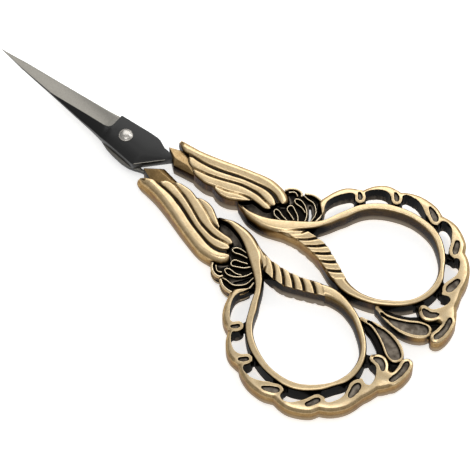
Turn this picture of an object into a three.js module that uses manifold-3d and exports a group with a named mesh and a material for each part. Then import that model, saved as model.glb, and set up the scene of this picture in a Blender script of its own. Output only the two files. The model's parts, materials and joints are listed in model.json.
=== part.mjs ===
// Small embroidery scissors: two steel blades with their tangs set in cast ornamental bows, on one rivet.
// Millimetres, +Z up. Drawn about the pivot, with +X towards the bows and z = 0 where the blades meet.
// The lower half is the upper half turned over about the X axis.

import * as THREE from "three";
import { ConvexGeometry } from "three/addons/geometries/ConvexGeometry.js";
import { mergeVertices } from "three/addons/utils/BufferGeometryUtils.js";
import Module from "manifold-3d";

const wasm = await Module();
wasm.setup();

// Blade
const bladeReach = 38.1; // pivot to point
const bladeThickness = 2.2;
const bladeGap = 0.1; // between the two ground inner faces
const heelSetback = 4.2; // pivot to the step behind the cutting edge
const heelEdge = 3.3; // cutting edge from the axis at the heel
const heelCorner = 3.55; // corner of the flat above the cutting edge
const heelSpine = 3.9;
const heelRidge = 1.0; // where the ground bevel meets the outer face
const heelSpineHeight = 1.5;
const ridgeRun = 17; // heel to where the bevel reaches the spine
const ridgeEndWidth = 1.85; // half width of the blade there
const ridgeEndHeight = 0.75;
const pointWidth = 0.12; // half width at the point
const pointHeight = 0.3;
const flatRear = 6; // pivot to the rear corner of the flat
const flatRearSpine = 4.8;
const flatRearTop = 4.3;
const shoulder = [[3.2, -1.15], [1.9, -0.6], [0.9, -0.1], [-0.3, 0]]; // from that corner's top to the neck
const bevelInFlat = 0.3; // the ground stretch starts this far inside the flat
const bevelDrop = 0.02; // and this far below its face
const spineStep = 0.05; // the bevel runs out this far above the spine
const bevelSteps = 4;
const neckGap = 0.15; // between the end of the neck and the face of the collar

// Tang, thinner than the blade, and the socket that holds it
const tangTurn = THREE.MathUtils.degToRad(14);
const tangWidth = 1.6;
const tangThickness = 1.5;
const tangLength = 12;
const tangInNeck = 2; // the tang starts this far ahead of the collar's face
const tangClearance = 0.2;
const socketMouth = 3; // the socket is cut this far ahead of the collar's face

// Rivet
const rivetShank = 1.1; // radius
const rivetHead = 1.62; // radius
const rivetHeadHeight = 0.55;
const rivetRimHeight = 0.2;
const rivetClearance = 0.05;
const rivetSides = 48;
const domeSteps = 6;

// Bow heights, each measured from the middle plane
const bowHalf = 2.7;
const wingHalf = 3.3; // at its front
const featherRelief = 0.6; // feather tops above the wing's body
const wingFront = 16; // where the wing is thickest
const wingRear = 36; // where it is down to the height of the bow
const collarWall = 0.6; // over the blade's face
const collarHalf = bladeThickness + collarWall;
const leafHalf = 2.0;
const flowerHalf = 1.3;
const petalHalf = 1.8;
const webHalf = 1.0;
const eyeletDepth = 0.8;
const eyeletRim = 0.72;
const grooveDepth = 0.8;

// Rounding of the cast edges
const bowRound = 0.5;
const bowSwell = 0.2; // how far the sides stand out beyond the drawn top edges
const laceRound = 0.4;
const laceSwell = 0.22;
const featherRound = 0.25;
const petalRound = 0.2;
const collarChamfer = 0.9;

// Bow and stem, top edges
const bowOuter = [
  [30.4, 2.95], [31.9, 3.1], [33.4, 2.75], [36, 3.2], [39, 4.4], [42, 6.3], [45, 8.4], [47.5, 10.6], [49, 13],
  [50.3, 16], [52, 19.5], [55, 22.65], [59, 24.85], [63, 25.9], [67, 26.1], [71, 25.1], [74.5, 22.4],
  [77, 18.9], [78.5, 16], [78.8, 13], [77.9, 9.4], [75.7, 6.4], [72.8, 3.8], [69.8, 2.05], [66.6, 0.9],
  [63, 0.47], [60, 0.95], [57, 1.85], [54, 3], [51, 3.65], [48, 3.85], [45, 3.45], [42, 2.6],
  [39, 1.45], [36.5, 1.15], [34, 1.3], [32.2, 1.65],
  [30.8, 1.95],
];
const fingerHole = [
  [47.5, 7.1], [49.4, 10.5], [51.2, 14], [52.8, 17.5], [55, 20.5], [58.5, 22.8], [62, 24.15],
  [65.5, 24.5], [69, 24.0], [72.5, 22.1], [75.3, 19.3], [76.8, 16.4], [77.3, 13.4], [76.7, 10.4],
  [74.9, 7.5], [72, 5.2], [69, 3.55], [66, 2.75], [63, 2.75],
];
// Notches in the upper edge of the twisted stretch, from its rear end to the stem, and its grooves
const ropeNotches = [
  [61.8, 2.95], [59.4, 3.85], [57.2, 4.8], [55.1, 5.65], [53.1, 6.4], [50, 6.7], [47.5, 7.1],
];
const ropeBulge = 0.28;
const ropeGrooves = [
  [44.4, 3.9, 47.2, 7.0], [46.7, 3.9, 49.9, 6.9], [49.3, 3.9, 52.9, 6.5], [51.8, 3.6, 55.0, 5.7],
  [54.2, 2.9, 57.1, 4.8], [56.8, 2.1, 59.4, 3.8], [59.2, 1.2, 61.7, 3.0],
];
const ropeGrooveWidth = 0.35; // half width

// Feathers of the wing, outermost first
const feathers = [
  [
    [9.8, 6.2], [10.6, 6.85], [13, 7.15], [18.6, 8.25], [25, 10.1], [31.1, 11.65], [34.6, 11.7], [37.6, 11.0],
    [38.9, 9.8], [38.5, 8.75], [36.2, 9.65], [32.7, 9.8], [28.1, 8.6], [23.4, 7.0], [18.8, 5.65],
    [14.6, 5.1], [12.6, 5.0], [10.7, 5.4],
  ],
  [
    [14.4, 4.7], [16.5, 4.95], [21.1, 5.6], [25.8, 7.35], [30.4, 8.75], [34.6, 9.2], [36.4, 8.6],
    [37.5, 7.6], [37.0, 6.95], [32.7, 7.6], [28.1, 6.8], [23.4, 4.8], [19, 3.4], [17.0, 3.05], [15.4, 3.5],
  ],
  [
    [17.3, 2.8], [19, 3.15], [21.1, 3.6], [25.8, 5.4], [30.4, 6.8], [33.5, 7.0], [36.7, 6.65], [37.3, 6.1],
    [36.2, 5.45], [33.9, 5.5], [31.1, 5.3], [27.5, 3.8], [23.7, 2.4], [20.4, 1.8], [18.3, 2.0],
  ],
  [
    [23.8, 2.35], [26.9, 3.2], [30.2, 4.7], [32.5, 5.0], [30.9, 3.7], [28.1, 2.1], [26.2, 1.65], [24.6, 1.8],
  ],
];
const wingBody = [
  [11.0, 6.4], [18.6, 7.9], [25, 9.7], [31.1, 11.2], [34.6, 11.3], [37.6, 10.5], [38.2, 9.2], [37.2, 8.2],
  [37.0, 7.2], [36.8, 6.0], [33.5, 5.4], [31.8, 4.6], [29.5, 3.0], [27, 1.8], [24, 1.45], [20.4, 1.25],
  [17, 1.2], [14.2, 1.65], [12.8, 3.2], [12.2, 5.2],
];
// Collar round the tang: its front face runs from the first corner to the second
const collar = [[9.6, 4.25], [12.6, 1.65], [18.2, 1.8], [18.5, 4.2], [14.2, 5.0]];
const neckOnFace = [1.0, 3.3]; // sides of the neck, along that face from its first corner
const bowStagger = 1.0; // the lower bow sits this much nearer the pivot than the upper one

// Flower behind the wing
const flower = [
  [33.2, 5.4], [31.6, 4.4], [31.2, 3.2], [33.2, 2.4], [36.4, 2.6], [40.2, 4.4], [44.2, 7.0], [47.2, 10.0],
  [47.1, 12.1], [46.4, 13.9], [45.3, 15.0], [44, 15.5], [42, 15.35], [40.6, 14.5], [40.0, 14.1],
  [38.7, 14.3], [37.2, 13.4], [36.5, 12.4], [36.4, 11.2], [37.0, 9.0], [36.4, 7.0], [35.6, 5.6],
];
const petals = [
  [
    [36.6, 12.3], [37.3, 13.4], [38.7, 14.2], [40, 14.0], [40.4, 13.4], [39.7, 12.9], [38.7, 13.3],
    [37.5, 12.5],
  ],
  [
    [40.5, 14.3], [42, 15.3], [44, 15.45], [45.3, 14.95], [46.4, 13.9], [47, 12.1], [46.9, 9.8], [46.2, 9.4],
    [45.8, 11.9], [44.7, 13.1], [43.5, 13.7], [42, 13.6], [40.7, 13.8],
  ],
  [
    [39.8, 11.85], [40.7, 12.45], [42.1, 12.2], [43.3, 11.5], [44.4, 10.3], [45.2, 8.5], [44.4, 8.0],
    [43.7, 10.2], [42.2, 11.1], [40.4, 11.25],
  ],
  [
    [39.7, 9.5], [40.2, 10.1], [41.5, 9.7], [43, 8.8], [44, 7.9], [43.2, 7.2], [42.9, 7.9], [41.2, 8.25],
    [40, 8.75],
  ],
  [
    [37.9, 6.95], [38.7, 7.3], [40, 6.85], [42.2, 6.7], [41.2, 5.6], [40.2, 5.95], [38.3, 6.1],
  ],
];
// Slot through the flower between its two outer petals
const flowerSlot = [[42.9, 12.9, 0.25], [44.2, 12.0, 0.42], [45.0, 10.9, 0.42], [45.5, 9.8, 0.3]];

// Lace border: notches of its outer edge with the rise of each scallop that follows
const scallops = [
  [45.0, 15.0, 1.4], [50.3, 23.1, 1.55], [57.4, 28.35, 1.75], [68.2, 29.5, 1.75], [77.8, 25.35, 1.5],
  [83.4, 17.0, 0.15], [84.5, 13.3, 0],
];
// Its inner edge, one arc for each window: start, end and rise
const windows = [
  [45.9, 14.8, 49.9, 21.1, 1.05], [51.0, 23.2, 57.2, 25.3, 1.4], [58.3, 27.8, 66.2, 26.5, 1.55],
  [69.0, 28.3, 74.6, 23.9, 1.5], [77.4, 23.2, 79.4, 16.3, 1.35], [81.4, 14.1, 81.0, 9.4, 1.65],
];
// Eyelets as strokes with a radius at each point; the rim round each one is a part of the border
const eyelets = [
  [[50.3, 21.95, 0.32], [51.2, 21.05, 0.5]],
  [[56.8, 27.0, 0.35], [57.7, 26.2, 0.55]],
  [[65.3, 29.05, 0.5], [67.3, 27.95, 0.85]],
  [[75.1, 26.0, 0.5], [75.9, 24.2, 0.75]],
  [[81.1, 18.5, 0.5], [80.9, 16.0, 0.95]],
  [[79.7, 8.0, 0.5], [80.9, 7.9, 0.8], [82.1, 8.7, 0.65], [82.6, 9.1, 0.5]],
  [[85.5, 9.8, 0.55], [85.9, 7.4, 0.8], [85.9, 5.2, 0.85]],
];
// Feet that join the first five eyelets to the bow, as strokes
const eyeletFeet = [
  [[51.2, 21.05, 0.7], [52.2, 20.2, 0.7]], [[57.7, 26.2, 0.8], [58.5, 25.1, 0.7]],
  [[67.3, 27.95, 1.0], [67.5, 26.6, 0.9]], [[75.9, 24.2, 0.9], [75.4, 22.6, 0.8]],
  [[80.9, 15.6, 1.0], [79.2, 15.1, 0.9]],
];
const borderEnd = [[85.7, 12.0], [86.5, 10.6], [86.2, 8.5], [84.4, 8.2], [83.2, 8.4], [82.2, 9.6]];
const leaf = [
  [71.2, 2.0], [74, 2.35], [76.2, 3.3], [79, 5.0], [81.4, 6.25], [83.2, 6.2], [84.3, 5.2], [84.2, 3.7],
  [82.4, 1.9], [80, 0.85], [77, 0.65], [74, 1.05],
];
const leafHollow = [
  [74, 1.85], [76, 2.75], [78, 3.8], [80, 4.95], [81.6, 5.7], [82.8, 5.65], [83.7, 4.4], [83, 3.0],
  [81.1, 1.95], [79, 1.4], [76, 1.45],
];
const web = [[81.6, 6.4], [82.6, 8.4], [84.6, 8.8], [85.8, 7], [85.8, 4.8], [84, 3.6], [82.4, 4.8]];

// Curve sampling
const outlineSteps = 2; // points for each span of a closed outline
const arcSteps = 5;
const ropeSteps = 3;
const capSteps = 4;
const weld = 1e-4; // vertices closer than this are one
const cutOver = 1; // cuts run this far past the face they start from

function closedCurve(points, steps = outlineSteps) {
  const at = points.map(([x, y]) => new THREE.Vector3(x, y, 0));
  const curve = new THREE.CatmullRomCurve3(at, true, "centripetal");
  const sampled = curve.getPoints(points.length * steps).slice(0, -1);
  return sampled.map((p) => new THREE.Vector2(p.x, p.y));
}

// Points of an arc from a to b that rises to the left of the way, with the last one left out.
function arc(ax, ay, bx, by, rise, steps = arcSteps) {
  const a = new THREE.Vector2(ax, ay);
  const along = new THREE.Vector2(bx, by).sub(a);
  const left = new THREE.Vector2(-along.y, along.x).normalize();
  return Array.from({ length: steps }, (_, i) => {
    const t = i / steps;
    const lift = rise * 4 * t * (1 - t);
    return a.clone().addScaledVector(along, t).addScaledVector(left, lift);
  });
}

// Outline of a stroke through [x, y, radius] points, widened by grow, with round ends.
function stroke(points, grow = 0) {
  const at = points.map(([x, y]) => new THREE.Vector2(x, y));
  const radius = points.map((p) => p[2] + grow);
  const last = at.length - 1;
  const turn = at.map((_, i) => {
    const d = at[Math.min(i + 1, last)].clone().sub(at[Math.max(i - 1, 0)]);
    return Math.atan2(d.y, d.x);
  });
  const rim = (i, angle) => {
    const out = new THREE.Vector2(Math.cos(angle), Math.sin(angle));
    return at[i].clone().addScaledVector(out, radius[i]);
  };
  const cap = (i, from) => {
    return Array.from({ length: capSteps + 1 }, (_, k) => rim(i, from + (Math.PI * k) / capSteps));
  };
  const side = at.map((_, i) => i).slice(1, -1);
  const right = side.map((i) => rim(i, turn[i] - Math.PI / 2));
  const left = side.map((i) => rim(i, turn[i] + Math.PI / 2)).reverse();
  return [...cap(0, turn[0] + Math.PI / 2), ...right, ...cap(last, turn[last] - Math.PI / 2), ...left];
}

// Manifold solids from three.js geometry and back
function solid(geometry) {
  const bare = geometry.clone();
  bare.deleteAttribute("normal");
  bare.deleteAttribute("uv");
  const merged = mergeVertices(bare, weld);
  return new wasm.Manifold(
    new wasm.Mesh({
      numProp: 3,
      vertProperties: merged.attributes.position.array,
      triVerts: new Uint32Array(merged.index.array),
    }),
  );
}

function geometryOf(body) {
  const mesh = body.getMesh();
  const made = new THREE.BufferGeometry();
  made.setAttribute("position", new THREE.BufferAttribute(mesh.vertProperties, 3));
  made.setIndex(new THREE.BufferAttribute(mesh.triVerts, 1));
  const flat = made.toNonIndexed();
  flat.computeVertexNormals();
  return flat;
}

const joined = (bodies) => bodies.reduce((all, body) => all.add(body));

// A cast plate between -half and +half with rounded edges; swell moves its sides out beyond the outline.
function plate(outline, half, { holes = [], round = 0, swell = 0, height = null } = {}) {
  const shape = new THREE.Shape(THREE.ShapeUtils.isClockWise(outline) ? [...outline].reverse() : outline);
  shape.holes = holes.map((hole) => new THREE.Path(hole));
  const made = new THREE.ExtrudeGeometry(shape, {
    depth: 2 * (half - round),
    bevelEnabled: round > 0,
    bevelThickness: round,
    bevelSize: round,
    bevelOffset: swell - round,
    bevelSegments: 1,
  });
  made.translate(0, 0, round - half);
  if (height) {
    const at = made.attributes.position;
    for (let i = 0; i < at.count; i += 1) {
      at.setZ(i, (at.getZ(i) / half) * height(at.getX(i)));
    }
  }
  return solid(made);
}

// A straight-sided prism between two heights
function prism(outline, low, high) {
  const shape = new THREE.Shape(outline);
  const made = new THREE.ExtrudeGeometry(shape, { depth: high - low, bevelEnabled: false });
  made.translate(0, 0, low);
  return solid(made);
}

// A cut of the given depth into both faces of a plate
function bothFaces(outline, half, depth) {
  const over = half + cutOver;
  return prism(outline, half - depth, over).add(prism(outline, -over, depth - half));
}

// Blade, upper half, with its tang square to the middle of the neck
const innerFace = bladeGap / 2;
const faceStart = new THREE.Vector2(...collar[0]);
const faceAlong = new THREE.Vector2(...collar[1]).sub(faceStart).normalize();
const facePoint = (along) => faceStart.clone().addScaledVector(faceAlong, along);
const tangStart = facePoint((neckOnFace[0] + neckOnFace[1]) / 2);
const tangAlong = new THREE.Vector2(Math.cos(tangTurn), Math.sin(tangTurn));
const tangAcross = new THREE.Vector2(-tangAlong.y, tangAlong.x);

// Tang outline from one distance along it to another, widened by grow
function tangOutline(from, to, grow) {
  const half = tangWidth / 2 + grow;
  const corner = (along, across) => {
    return tangStart.clone().addScaledVector(tangAlong, along).addScaledVector(tangAcross, across);
  };
  return [corner(from, -half), corner(to, -half), corner(to, half), corner(from, half)];
}

// The four corners of the blade at x: cutting edge, top of the bevel, and the spine's two edges
function bladeSection(x, edge, ridge, spine, ridgeHeight, spineHeight) {
  return [
    new THREE.Vector3(x, edge, innerFace),
    new THREE.Vector3(x, -ridge, ridgeHeight),
    new THREE.Vector3(x, -spine, spineHeight),
    new THREE.Vector3(x, -spine, innerFace),
  ];
}

// The ground stretch between two sections, in equal steps
function ground(from, to, steps) {
  const section = (i) => from.map((p, k) => p.clone().lerp(to[k], i / steps));
  const stretch = (i) => solid(new ConvexGeometry([...section(i), ...section(i + 1)]));
  return Array.from({ length: steps }, (_, i) => stretch(i));
}

// The blade for a bow that is moved back along X
function makeBlade(back) {
  const heel = bladeSection(
    bevelInFlat - heelSetback, heelEdge, heelRidge, heelSpine,
    bladeThickness - bevelDrop, heelSpineHeight,
  );
  const runOut = bladeSection(
    -heelSetback - ridgeRun, ridgeEndWidth, ridgeEndWidth - spineStep, ridgeEndWidth,
    ridgeEndHeight, ridgeEndHeight - spineStep,
  );
  const point = bladeSection(-bladeReach, pointWidth, 0, pointWidth, pointHeight, pointHeight / 2);
  const clear = new THREE.Vector2(faceAlong.y, -faceAlong.x).multiplyScalar(neckGap);
  clear.x += back;
  const neckTop = facePoint(neckOnFace[0]).add(clear);
  const neckBottom = facePoint(neckOnFace[1]).add(clear);
  const flat = [
    new THREE.Vector2(-heelSetback, -heelSpine),
    new THREE.Vector2(flatRear, -flatRearSpine),
    neckBottom,
    neckTop,
    ...shoulder.map(([x, y]) => new THREE.Vector2(flatRear + x, flatRearTop + y)),
    new THREE.Vector2(-heelSetback, heelCorner),
  ];
  const bore = rivetShank + rivetClearance;
  const boreLength = 2 * (bladeThickness + cutOver);
  const hole = new THREE.CylinderGeometry(bore, bore, boreLength, rivetSides).rotateX(Math.PI / 2);
  const steel = joined([
    prism(flat, innerFace, bladeThickness),
    prism(tangOutline(-tangInNeck, tangLength, 0), innerFace, innerFace + tangThickness),
    ...ground(heel, runOut, bevelSteps),
    ...ground(runOut, point, 1),
  ]);
  return geometryOf(steel.subtract(solid(hole)));
}

// Bow, upper half
const wingHeight = (x) => {
  const t = THREE.MathUtils.smoothstep(x, wingFront, wingRear);
  return THREE.MathUtils.lerp(wingHalf, bowHalf, t);
};
const wingBodyHeight = (x) => wingHeight(x) - featherRelief;

function ropeEdge() {
  return ropeNotches.slice(0, -1).flatMap(([x, y], i) => {
    const [nextX, nextY] = ropeNotches[i + 1];
    return arc(x, y, nextX, nextY, -ropeBulge, ropeSteps);
  });
}

function makeRing() {
  const hole = new THREE.CatmullRomCurve3(fingerHole.map(([x, y]) => new THREE.Vector3(x, y, 0)));
  const smooth = hole.getPoints(fingerHole.length * outlineSteps).map((p) => new THREE.Vector2(p.x, p.y));
  const ring = plate(closedCurve(bowOuter), bowHalf, {
    holes: [[...smooth, ...ropeEdge()]],
    round: bowRound,
    swell: bowSwell,
  });
  const grooves = ropeGrooves.map(([ax, ay, bx, by]) => {
    const line = stroke([[ax, ay, ropeGrooveWidth], [bx, by, ropeGrooveWidth]]);
    return bothFaces(line, bowHalf, grooveDepth);
  });
  return grooves.reduce((body, groove) => body.subtract(groove), ring);
}

function makeWing() {
  const body = plate(closedCurve(wingBody, 1), bowHalf, { round: featherRound, height: wingBodyHeight });
  const tops = feathers.map((outline) => {
    return plate(closedCurve(outline), bowHalf, { round: featherRound, height: wingHeight });
  });
  const collarOutline = collar.map(([x, y]) => new THREE.Vector2(x, y));
  const ferrule = plate(collarOutline, collarHalf, { round: collarChamfer });
  return joined([body, ...tops, ferrule]);
}

function makeFlower() {
  const base = plate(closedCurve(flower, 1), flowerHalf);
  const raised = petals.map((outline) => plate(closedCurve(outline, 1), petalHalf, { round: petalRound }));
  return joined([base, ...raised]).subtract(prism(stroke(flowerSlot), -bowHalf, bowHalf));
}

function makeLace() {
  const outer = scallops.slice(0, -1).flatMap(([x, y, rise], i) => {
    const [nextX, nextY] = scallops[i + 1];
    return arc(x, y, nextX, nextY, rise);
  });
  const [endX, endY] = scallops[scallops.length - 1];
  const rear = [new THREE.Vector2(endX, endY), ...borderEnd.map(([x, y]) => new THREE.Vector2(x, y))];
  const inner = windows.flatMap(([ax, ay, bx, by, rise]) => {
    return [...arc(ax, ay, bx, by, rise), new THREE.Vector2(bx, by)];
  });
  const edges = { round: laceRound, swell: laceSwell };
  const band = plate([...outer, ...rear, ...inner.reverse()], bowHalf, edges);
  const rims = eyelets.map((points) => plate(stroke(points, eyeletRim), bowHalf, edges));
  const feet = eyeletFeet.map((points) => plate(stroke(points), bowHalf, edges));
  const border = joined([band, ...rims, ...feet]);
  const hollows = eyelets.map((points) => bothFaces(stroke(points), bowHalf, eyeletDepth));
  return hollows.reduce((body, hollow) => body.subtract(hollow), border);
}

function makeLeaf() {
  const blade = plate(closedCurve(leaf), leafHalf, { round: laceRound, swell: laceSwell });
  const hollow = bothFaces(closedCurve(leafHollow, 1), leafHalf, eyeletDepth);
  return joined([blade.subtract(hollow), plate(closedCurve(web, 1), webHalf)]);
}

// The bow, moved back along X, with the socket cut where the tang is
function makeBow(casting, back) {
  const outline = tangOutline(-socketMouth, tangLength + tangClearance, tangClearance);
  const top = innerFace + tangThickness + tangClearance;
  const socket = prism(outline, innerFace - tangClearance, top);
  return geometryOf(solid(casting.clone().translate(back, 0, 0)).subtract(socket));
}

// Rivet: a plain shank with a low domed head on each side
function makeRivet() {
  const face = bladeThickness + rivetClearance;
  const dome = Array.from({ length: domeSteps + 1 }, (_, i) => {
    const t = i / domeSteps;
    const rise = rivetRimHeight + (rivetHeadHeight - rivetRimHeight) * (1 - (1 - t) ** 2);
    return new THREE.Vector2(rivetHead * (1 - t), face + rise);
  });
  const upper = [new THREE.Vector2(rivetShank, face), new THREE.Vector2(rivetHead, face), ...dome];
  const lower = upper.map((p) => new THREE.Vector2(p.x, -p.y)).reverse();
  return new THREE.LatheGeometry([...lower, ...upper], rivetSides).rotateX(Math.PI / 2);
}

// Finishes
const blackSteel = { color: 0x2d2d2a, roughness: 0.45, metalness: 0.8 };
const agedBrass = { color: 0xb9965c, roughness: 0.38, metalness: 0.9 };
const brightSteel = { color: 0xc9c5bf, roughness: 0.25, metalness: 1 };

function piece(name, geometry, finish) {
  const mesh = new THREE.Mesh(geometry, new THREE.MeshStandardMaterial(finish));
  mesh.name = name;
  return mesh;
}

const casting = geometryOf(joined([makeRing(), makeWing(), makeFlower(), makeLace(), makeLeaf()]));

const upperHalf = new THREE.Group();
upperHalf.add(
  piece("upper_blade", makeBlade(bowStagger / 2), blackSteel),
  piece("upper_handle", makeBow(casting, bowStagger / 2), agedBrass),
);
const lowerHalf = new THREE.Group();
lowerHalf.add(
  piece("lower_blade", makeBlade(-bowStagger / 2), blackSteel),
  piece("lower_handle", makeBow(casting, -bowStagger / 2), agedBrass),
);
lowerHalf.rotation.x = Math.PI;

const scissors = new THREE.Group();
scissors.add(upperHalf, lowerHalf, piece("pivot_rivet", makeRivet(), brightSteel));

// The origin is the middle of the underside of the closed scissors
const box = new THREE.Box3().setFromObject(scissors, true);
const middle = box.getCenter(new THREE.Vector3());
scissors.position.set(-middle.x, -middle.y, -box.min.z);

const part = new THREE.Group();
part.add(scissors);

export default part;
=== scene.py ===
import json
import math

import bmesh
import bpy
from mathutils import Matrix, Vector, geometry
from mathutils.bvhtree import BVHTree
from mathutils.kdtree import KDTree


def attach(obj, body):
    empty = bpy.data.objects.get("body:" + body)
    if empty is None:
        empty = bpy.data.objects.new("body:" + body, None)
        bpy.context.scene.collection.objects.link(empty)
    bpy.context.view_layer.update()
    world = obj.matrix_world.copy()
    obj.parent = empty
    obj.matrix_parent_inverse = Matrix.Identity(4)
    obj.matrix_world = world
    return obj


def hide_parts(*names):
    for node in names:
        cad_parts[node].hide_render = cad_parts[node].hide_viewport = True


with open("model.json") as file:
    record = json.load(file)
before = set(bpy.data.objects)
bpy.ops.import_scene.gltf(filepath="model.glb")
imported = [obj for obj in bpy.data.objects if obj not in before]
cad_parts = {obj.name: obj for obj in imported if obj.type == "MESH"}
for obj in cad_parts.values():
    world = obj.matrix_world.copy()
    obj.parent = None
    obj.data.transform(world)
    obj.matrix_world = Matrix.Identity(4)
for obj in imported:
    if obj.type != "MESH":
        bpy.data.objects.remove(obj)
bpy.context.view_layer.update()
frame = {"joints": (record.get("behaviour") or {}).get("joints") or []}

# Small embroidery scissors: black blades with a ground bevel, on a steel rivet, in antiqued cast bows.
# All is drawn in millimetres about the pivot, +X towards the bows, z = 0 where the blades meet.
# The upper half lies as drawn, and the lower half is the same drawing turned over about X.
PIVOT = Vector(frame["joints"][0]["pos_m"])
BOW_STAGGER = 0.5  # the upper bow sits this far back from the drawing, and the lower one this far ahead

# Heights from the middle plane
BOW = 2.7
WING = 3.3  # at its front
NOSE_HEIGHT = 2.5
LACE = 2.6
LACE_BRIDGE = 1.5  # where the border reaches the bow
EYELET_FLOOR = 2.05
LEAF = 2.0
LEAF_FLOOR = 1.25
WEB = 1.0
FLOWER = 0.95
PETAL_TOP = 1.95
BLADE = 2.2
BLADE_GAP = 0.05
ROOT = 0.2  # how far a raised plate reaches down into what it stands on, and a petal's line
PETAL_ROOT = 0.1

# Relief of the wing and the twist
WING_FALL = (16, 36)  # between these places the wing falls to the bow's height
FEATHER_RELIEF = 0.5  # of the feathers above the wing's body
FEATHER_DROP = 0.2  # of a feather's edges below the wing's height, and the rise of its crown
FEATHER_CROWN = 0.25
CORE_DROP = 0.7  # of the twist's core, its rail and its strands below the bow
RAIL_DROP = 0.4
STRAND_DROP = 0.1

# Relief of the lace border
FALL = 0.12  # share by which its top falls to its outer edge, over what width, and how far from the bow
FALL_WIDTH = 1.6
FALL_CLEAR = 1.8
LACE_SWELL = 0.2  # how far its side stands out beyond its top edge
LACE_STEPS = [(0.5, -0.14), (0.27, 0.02), (0.1, 0.22), (0, 0.4)]  # depth, and distance in from its edge
EYELET_RIM = 0.85
RIM_STEPS = [(0.25, 0), (0, 0.15)]  # the same for the rim of an eyelet
BRIDGE_GAP = 1.0  # from the bow to where the border rises

# Casting
DRAFT = 0.11  # taper of the walls towards the parting line of the mould
VOXEL = 0.13
CAST_SHARE = 0.32  # of the triangles that stay after thinning

# Wear, with painted shade
WEAR_SQUARE = 0.5  # grid on which the wheel finds the tops, and how many squares round a point it bridges
WEAR_SQUARES = 3
WEAR_RAYS = 24
WEAR_LIFT = 0.04  # height above the surface at which the rays start
PAINTED_SHADE_NEAR = 0.55  # painted shade: darkness of a wall close to the wall it faces, and of one this far from it
PAINTED_SHADE_FAR = 0.32
PAINTED_SHADE_REACH = 15
FLOOR_INSET = 0.1  # a hollow's floor is dark to here from its edge, and its painted sheen grows lighter over the next width
FLOOR_EDGE = 0.4
FLOWER_SHEEN = 0.9  # how much of the hollows' painted grey sheen the flower's floor keeps

# Bow: outer edge from the tip of the stem round to the end of the twist, and the edge of the finger hole
BOW_OUTER = [
    (30.2, 2.95), (31.6, 2.9), (33, 2.65), (35, 2.95), (37, 3.5), (39, 4.4), (40, 5), (42, 6.3), (44, 7.7),
    (46, 9.2), (47.5, 10.6), (48.3, 11.6), (49, 13), (49.8, 15), (50.75, 17), (52, 19.5), (53.2, 21),
    (55, 22.65), (57, 24), (59, 24.85), (61, 25.5), (63, 25.9), (66, 26.1), (68, 26), (70, 25.5),
    (72, 24.5), (74, 22.9), (75.5, 21.3), (77, 18.9), (78.3, 16.8), (78.8, 14.5), (78.8, 13),
    (78.5, 11.2), (77.8, 9.3), (76.6, 7.4), (75.3, 5.9), (73.8, 4.6), (71.8, 3.2), (69.8, 2.05),
    (67.8, 1.3), (66, 0.8), (64, 0.45), (62, 0.45), (60, 0.95), (59.2, 1.3),
]
BOW_INNER = [
    (30.9, 2.3), (32.7, 1.65), (34.6, 1.15), (36, 1.1), (38, 1.2), (40, 1.7), (42, 2.6), (43.5, 3.5),
    (45.3, 5.6), (47, 7.3), (48.2, 8.6), (49, 9.8), (49.9, 11.3), (50.9, 13.4), (51.8, 15), (52.5, 16.8),
    (53.4, 18.6), (55, 20.5), (57, 22), (59, 23.05), (61, 23.85), (63, 24.35), (65.5, 24.5), (68, 24.25),
    (70, 23.65), (72, 22.45), (74, 20.8), (75.6, 18.9), (76.6, 17), (77.2, 14.8), (77.2, 12.4),
    (76.7, 10.4), (75.7, 8.5), (74, 6.7), (72, 5.2), (70, 3.95), (68, 3.2), (66, 2.75), (64, 2.75),
    (62.2, 3.05), (61.5, 3.3),
]

# Twist: its smooth outer edge, the edge of its core towards the hole, and the grooves across it
TWIST_OUTER = [
    (41, 2.2), (43.7, 3.2), (44.8, 3.4), (46, 3.75), (48, 3.85), (50, 3.75), (52, 3.45), (54, 3), (56, 2.2),
    (58, 1.4), (60, 0.95), (63, 0.5),
]
TWIST_INNER = [
    (42, 4.5), (44.5, 6.2), (47, 6.6), (49.6, 6.4), (52, 6.3), (53, 5.9), (55, 5.2), (57, 4.2), (59.3, 3.3),
    (60.8, 2.7), (63, 2.2),
]
TWIST_RAIL = [(42, 3.4), (43.9, 4.2), (46, 4.55), (48, 4.6), (50, 4.5), (52, 4.25), (54, 3.75),
              (56, 2.95), (58, 2.1), (60, 1.6), (63, 1.2)]
TWIST_START = ([(42, 2.7), (44, 3.5), (46, 4.3)], [(43.2, 3.6), (45, 5.4), (46.6, 6.8)])
GROOVES = [
    [(44.2, 3.7), (45.8, 5.2), (46.8, 7.0)], [(46.5, 3.8), (48.5, 5.4), (50.0, 7.25)],
    [(49.1, 3.8), (51.0, 5.3), (52.7, 7.1)], [(51.6, 3.55), (53.5, 4.9), (54.9, 6.2)],
    [(54.05, 3.0), (55.8, 4.1), (57.1, 5.25)], [(56.6, 2.15), (58.2, 3.1), (59.5, 4.15)],
    [(59.0, 1.2), (60.6, 2.2), (61.7, 3.1)],
]

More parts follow.
